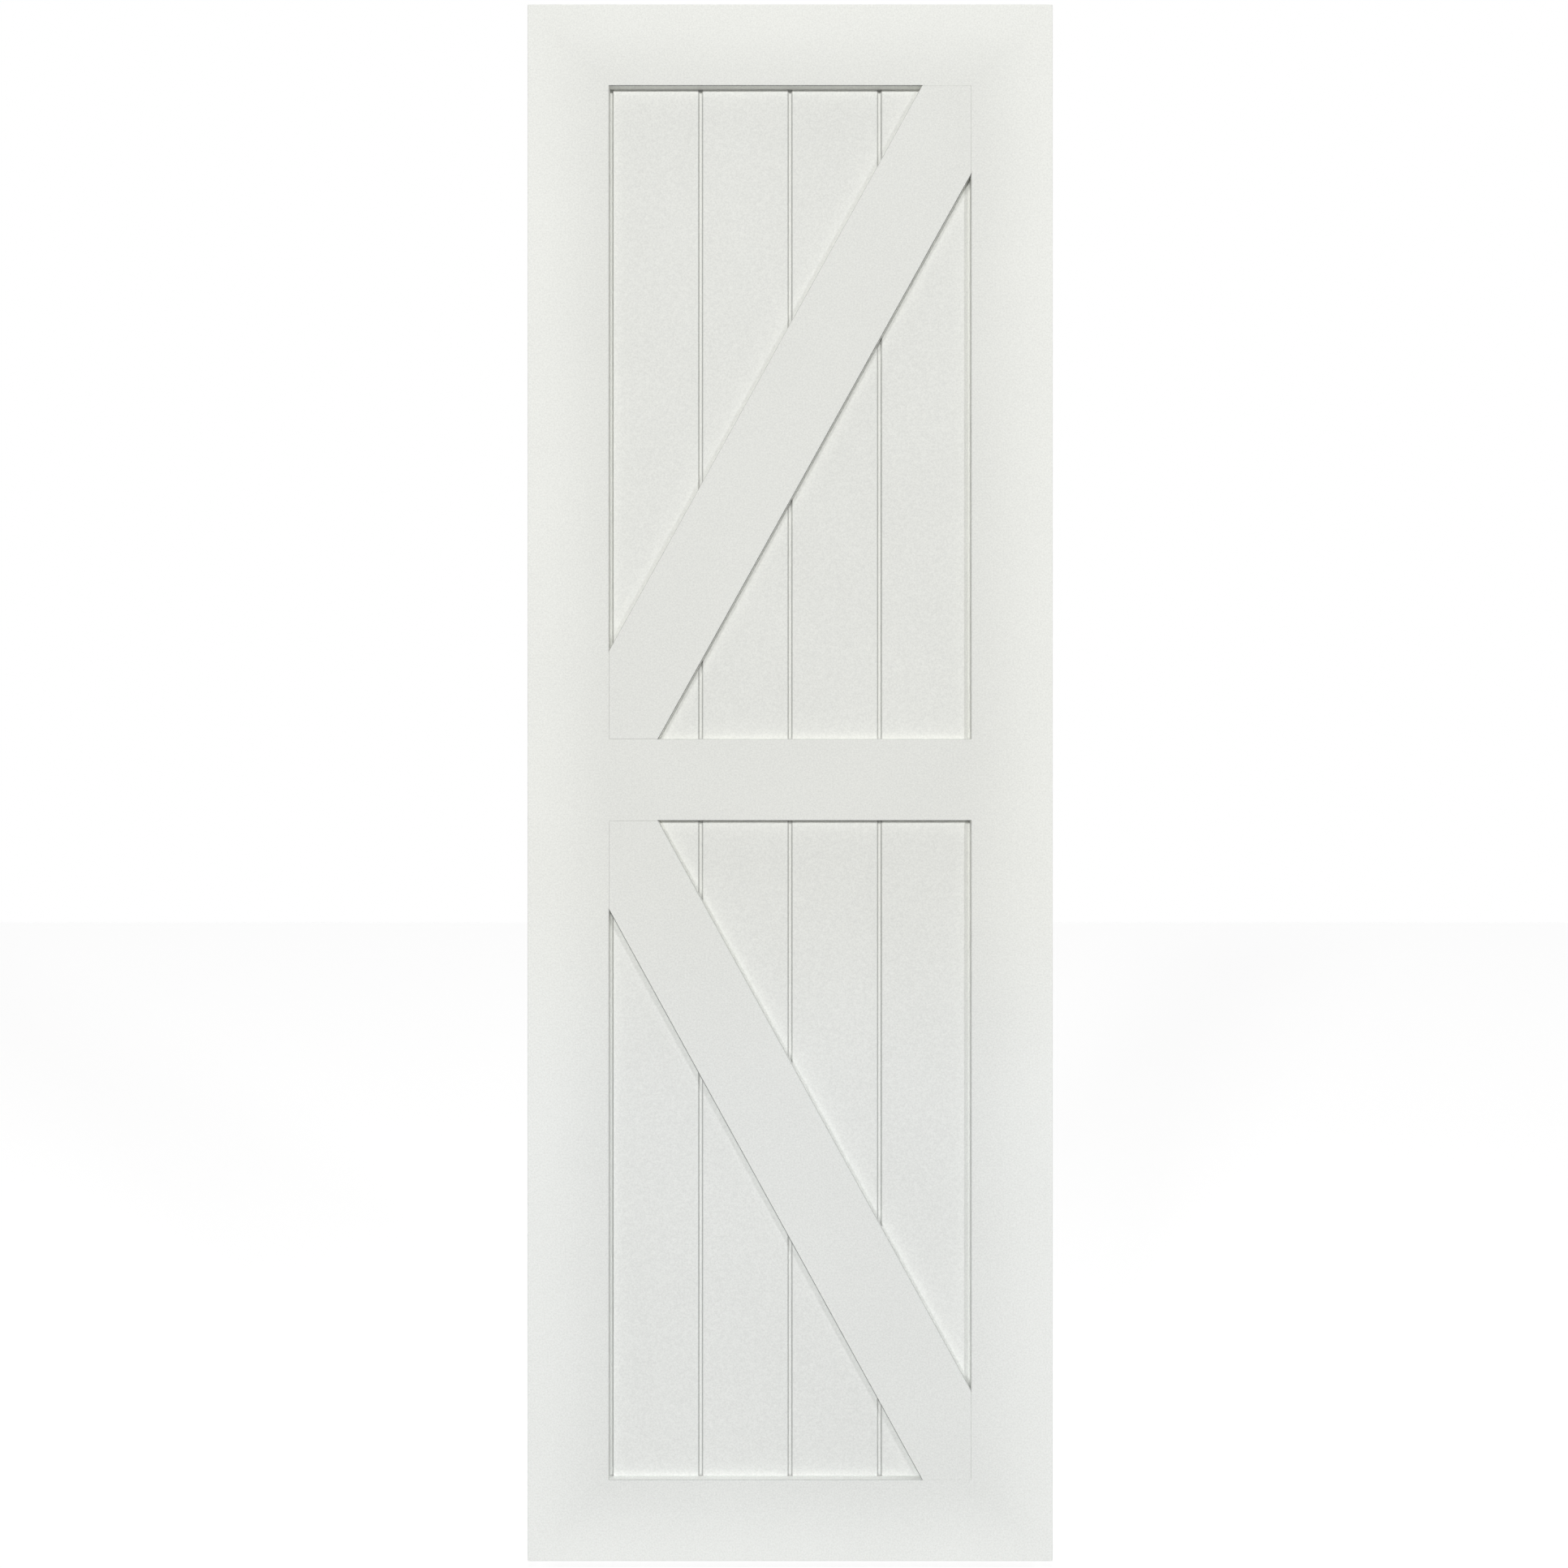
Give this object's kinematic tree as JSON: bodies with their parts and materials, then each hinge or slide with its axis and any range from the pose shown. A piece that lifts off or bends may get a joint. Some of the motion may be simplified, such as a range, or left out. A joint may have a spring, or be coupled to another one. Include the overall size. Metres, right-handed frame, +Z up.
{
  "type": "barn door leaf",
  "caption": "Painted boarded door leaf for a sliding track or a doorway, with a frame, upright tongued planks and diagonal braces in a K on both faces.",
  "frame": {"origin": "middle of the leaf's top edge, halfway through its thickness", "axes": "+X to the right as seen from the front, +Y from the front face to the back face, +Z up; the leaf hangs below the origin"},
  "size_m": [0.72, 0.035, 2.134],
  "materials": {
    "frame_paint": "satin white paint",
    "plank_paint": "satin white paint",
    "brace_paint": "satin white paint"
  },
  "bodies": {
    "root": {"stile_left": "frame_paint", "stile_right": "frame_paint", "top_rail": "frame_paint", "middle_rail": "frame_paint", "bottom_rail": "frame_paint", "upper_plank_1": "plank_paint", "upper_plank_2": "plank_paint", "upper_plank_3": "plank_paint", "upper_plank_4": "plank_paint", "lower_plank_1": "plank_paint", "lower_plank_2": "plank_paint", "lower_plank_3": "plank_paint", "lower_plank_4": "plank_paint", "upper_brace_front": "brace_paint", "upper_brace_back": "brace_paint", "lower_brace_front": "brace_paint", "lower_brace_back": "brace_paint"}
  },
  "joints": []
}
